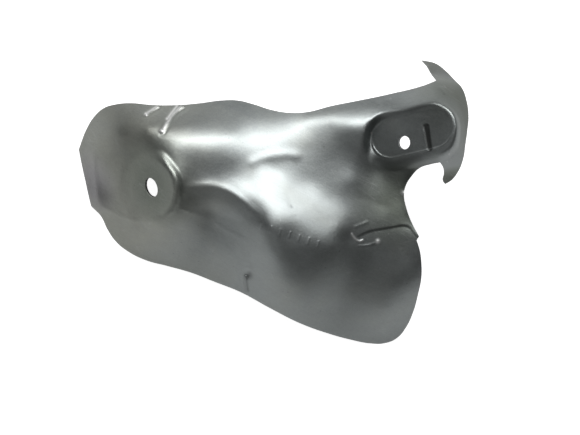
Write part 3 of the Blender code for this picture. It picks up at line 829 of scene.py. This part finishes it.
def makeInnerSteel():
    look = innerSteel
    material = bpy.data.materials.new("innerSteel")
    material.use_nodes = True
    tree = material.node_tree
    shader = tree.nodes["Principled BSDF"]
    place = tree.nodes.new("ShaderNodeTexCoord").outputs["Object"]
    clouds = effect(tree, "mottle", place, Scale=30.0, Contrast=1.8)
    grain = effect(tree, "grain", place, Scale=1100.0, Softness=0.5)
    brush = effect(tree, "brush", place, Angle=look["strokeAngle"], Scale=1300.0, Stretch=0.02)
    scratches = effect(tree, "scratch", place, Angle=look["strokeAngle"], Scale=40.0, Amount=0.6)
    wear = effect(tree, "wear", place, Start=0.54, End=0.66)
    sheet = mixColour(tree, clouds, colour(look["dullAndShade"]), colour(look["bright"]))
    tone = layer(tree, 1.0, grain, look["toneGrain"])
    toned = addNode(tree, "ShaderNodeVectorMath", {"operation": "SCALE"}, Scale=tone)
    tree.links.new(sheet, toned.inputs[0])
    worn = mathNode(tree, "MAXIMUM", scratches, wear)
    marked = mixColour(tree, mathNode(tree, "MULTIPLY", worn, look["markShare"]),
                       toned.outputs["Vector"], colour(look["bright"]))
    tree.links.new(marked, shader.inputs["Base Color"])
    tree.links.new(layer(tree, look["roughness"], clouds, look["roughnessClouds"]),
                   shader.inputs["Roughness"])
    shader.inputs["Metallic"].default_value = 1.0
    height = mathNode(tree, "MULTIPLY", grain, look["grainHeight"])
    height = layer(tree, height, brush, look["brushHeight"])
    bump = addNode(tree, "ShaderNodeBump", Height=height)
    bump.inputs["Distance"].default_value = look["bumpDistance"] * mm
    tree.links.new(bump.outputs["Normal"], shader.inputs["Normal"])
    return material


# the studio, places in millimetres
studio = {
    "camera": (15.0, -10.4, 930.0),
    "viewWidth": 377.0, "viewDistance": 900.0,
    "floorColour": (0.74, 0.74, 0.74), "floorGlow": 0.9, "floorBounce": 0.22,
    "floorSize": 3000.0, "sensor": 36.0,
    "backdrop": 0.93, "skyBase": 0.1,
    "skyLobes": [  # direction, width as a power, strength
        ((0.0, 0.05, 1.0), 8.0, 0.16),
        ((-0.3, 0.62, 0.75), 14.0, 0.5),
        ((-0.55, -0.68, 0.48), 12.0, 0.24)],
    "lamps": [  # name, place, target, width, height, power
        ("key", (50, 590, 720), (0, 0, 40), 1050, 340, 7.4),
    ],
}


def lobe(tree, direction, axis, power, strength):  # a soft patch of sky light
    facing = addNode(tree, "ShaderNodeVectorMath", {"operation": "DOT_PRODUCT"})
    tree.links.new(direction, facing.inputs[0])
    facing.inputs[1].default_value = Vector(axis).normalized()
    front = mathNode(tree, "MAXIMUM", facing.outputs["Value"], 0.0)
    return mathNode(tree, "MULTIPLY", mathNode(tree, "POWER", front, power), strength)


def buildSky():
    world = bpy.data.worlds.new("studio")
    world.use_nodes = True
    tree = world.node_tree
    direction = tree.nodes.new("ShaderNodeTexCoord").outputs["Generated"]
    total = studio["skyBase"]
    for axis, power, strength in studio["skyLobes"]:
        total = mathNode(tree, "ADD", lobe(tree, direction, axis, power, strength), total)
    path = tree.nodes.new("ShaderNodeLightPath")
    mix = addNode(tree, "ShaderNodeMix", Factor=path.outputs["Is Camera Ray"], A=total,
                  B=studio["backdrop"])
    tree.links.new(mix.outputs["Result"], tree.nodes["Background"].inputs["Color"])
    bpy.context.scene.world = world


def buildFloor():
    floorMesh = bmesh.new()
    bmesh.ops.create_grid(floorMesh, x_segments=2, y_segments=2,
                          size=studio["floorSize"] * mm)
    mesh = bpy.data.meshes.new("floor")
    floorMesh.to_mesh(mesh)
    floorMesh.free()
    floor = bpy.data.objects.new("floor", mesh)
    bpy.context.scene.collection.objects.link(floor)
    material = bpy.data.materials.new("paleFloor")
    material.use_nodes = True
    nodes, links = material.node_tree.nodes, material.node_tree.links
    shader = nodes["Principled BSDF"]
    shader.inputs["Base Color"].default_value = (*studio["floorColour"], 1.0)
    shader.inputs["Roughness"].default_value = 0.9
    shader.inputs["Emission Color"].default_value = (1.0, 1.0, 1.0, 1.0)
    path = nodes.new("ShaderNodeLightPath")
    glow = nodes.new("ShaderNodeMapRange")
    links.new(path.outputs["Is Camera Ray"], glow.inputs["Value"])
    glow.inputs["To Min"].default_value = studio["floorBounce"]
    glow.inputs["To Max"].default_value = studio["floorGlow"]
    links.new(glow.outputs[0], shader.inputs["Emission Strength"])
    mesh.materials.append(material)


def buildStudio():
    scene = bpy.context.scene
    camera = bpy.data.cameras.new("camera")
    camera.sensor_width = studio["sensor"]
    camera.lens = studio["sensor"] * studio["viewDistance"] / studio["viewWidth"]
    holder = bpy.data.objects.new("camera", camera)
    holder.location = Vector(studio["camera"]) * mm
    scene.collection.objects.link(holder)
    scene.camera = holder
    scene.view_settings.view_transform = "Standard"
    buildSky()
    buildFloor()
    for name, place, target, width, height, power in studio["lamps"]:
        lamp = bpy.data.lights.new(name, "AREA")
        lamp.shape = "RECTANGLE"
        lamp.size, lamp.size_y = width * mm, height * mm
        lamp.energy = power
        holder = bpy.data.objects.new(name, lamp)
        holder.location = Vector(place) * mm
        aim = (Vector(target) - Vector(place)).to_track_quat("-Z", "Y")
        holder.rotation_euler = aim.to_euler()
        scene.collection.objects.link(holder)


punches = [
    punchFor("leftPunch", press["leftBolt"], press["leftTilt"], press["leftUphill"],
             press["leftBoltSize"]),
    punchFor("armPunch", press["armBolt"], press["armTilt"], press["armUphill"],
             press["armBoltSize"])]
outerSkin = makeSkin("outerSkin", flatBlank(rim.values(), blanks["outerRimSteps"]), outerForm, 0.0,
                     press["outerSheet"], blanks["outerCell"], blanks["fineZones"], punches)
innerBlank = flatBlank(innerStretches(), blanks["innerRimSteps"])
border = bmesh.ops.inset_region(innerBlank, faces=innerBlank.faces[:],
                                thickness=press["innerSetback"], use_even_offset=True,
                                use_boundary=True)["faces"]
bmesh.ops.delete(innerBlank, geom=border, context="FACES")
innerSkin = makeSkin("innerSkin", innerBlank, innerForm, press["outerSheet"] + press["skinGap"],
                     press["innerSheet"], blanks["innerCell"], [], punches)
for punch in punches:
    bpy.data.objects.remove(punch, do_unlink=True)

placesFlat = np.zeros(len(outerSkin.data.vertices) * 3)
outerSkin.data.vertices.foreach_get("co", placesFlat)
places = placesFlat.reshape(-1, 3) / mm - np.array(press["shift"])
# painted shade for the hollows, stored on the outer skin per vertex
hollowShade = outerSkin.data.attributes.new("hollowShade", "FLOAT", "POINT")
hollowShade.data.foreach_set("value", shadeInHollows(places[:, 0], places[:, 1]))
# painted highlights, stored on the outer skin per vertex
paintedHighlight = outerSkin.data.attributes.new("paintedHighlight", "FLOAT", "POINT")
paintedHighlight.data.foreach_set("value", paintedHighlights(places[:, 0], places[:, 1]))
outerSkin.data.materials.append(makeOuterSteel())
innerSkin.data.materials.append(makeInnerSteel())
for piece, node, slot in ((outerSkin, "outer_skin", "outer_steel"),
                          (innerSkin, "inner_skin", "inner_steel")):
    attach(piece, "root")
    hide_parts(node)

print("steels ready")
buildStudio()
print("studio ready")
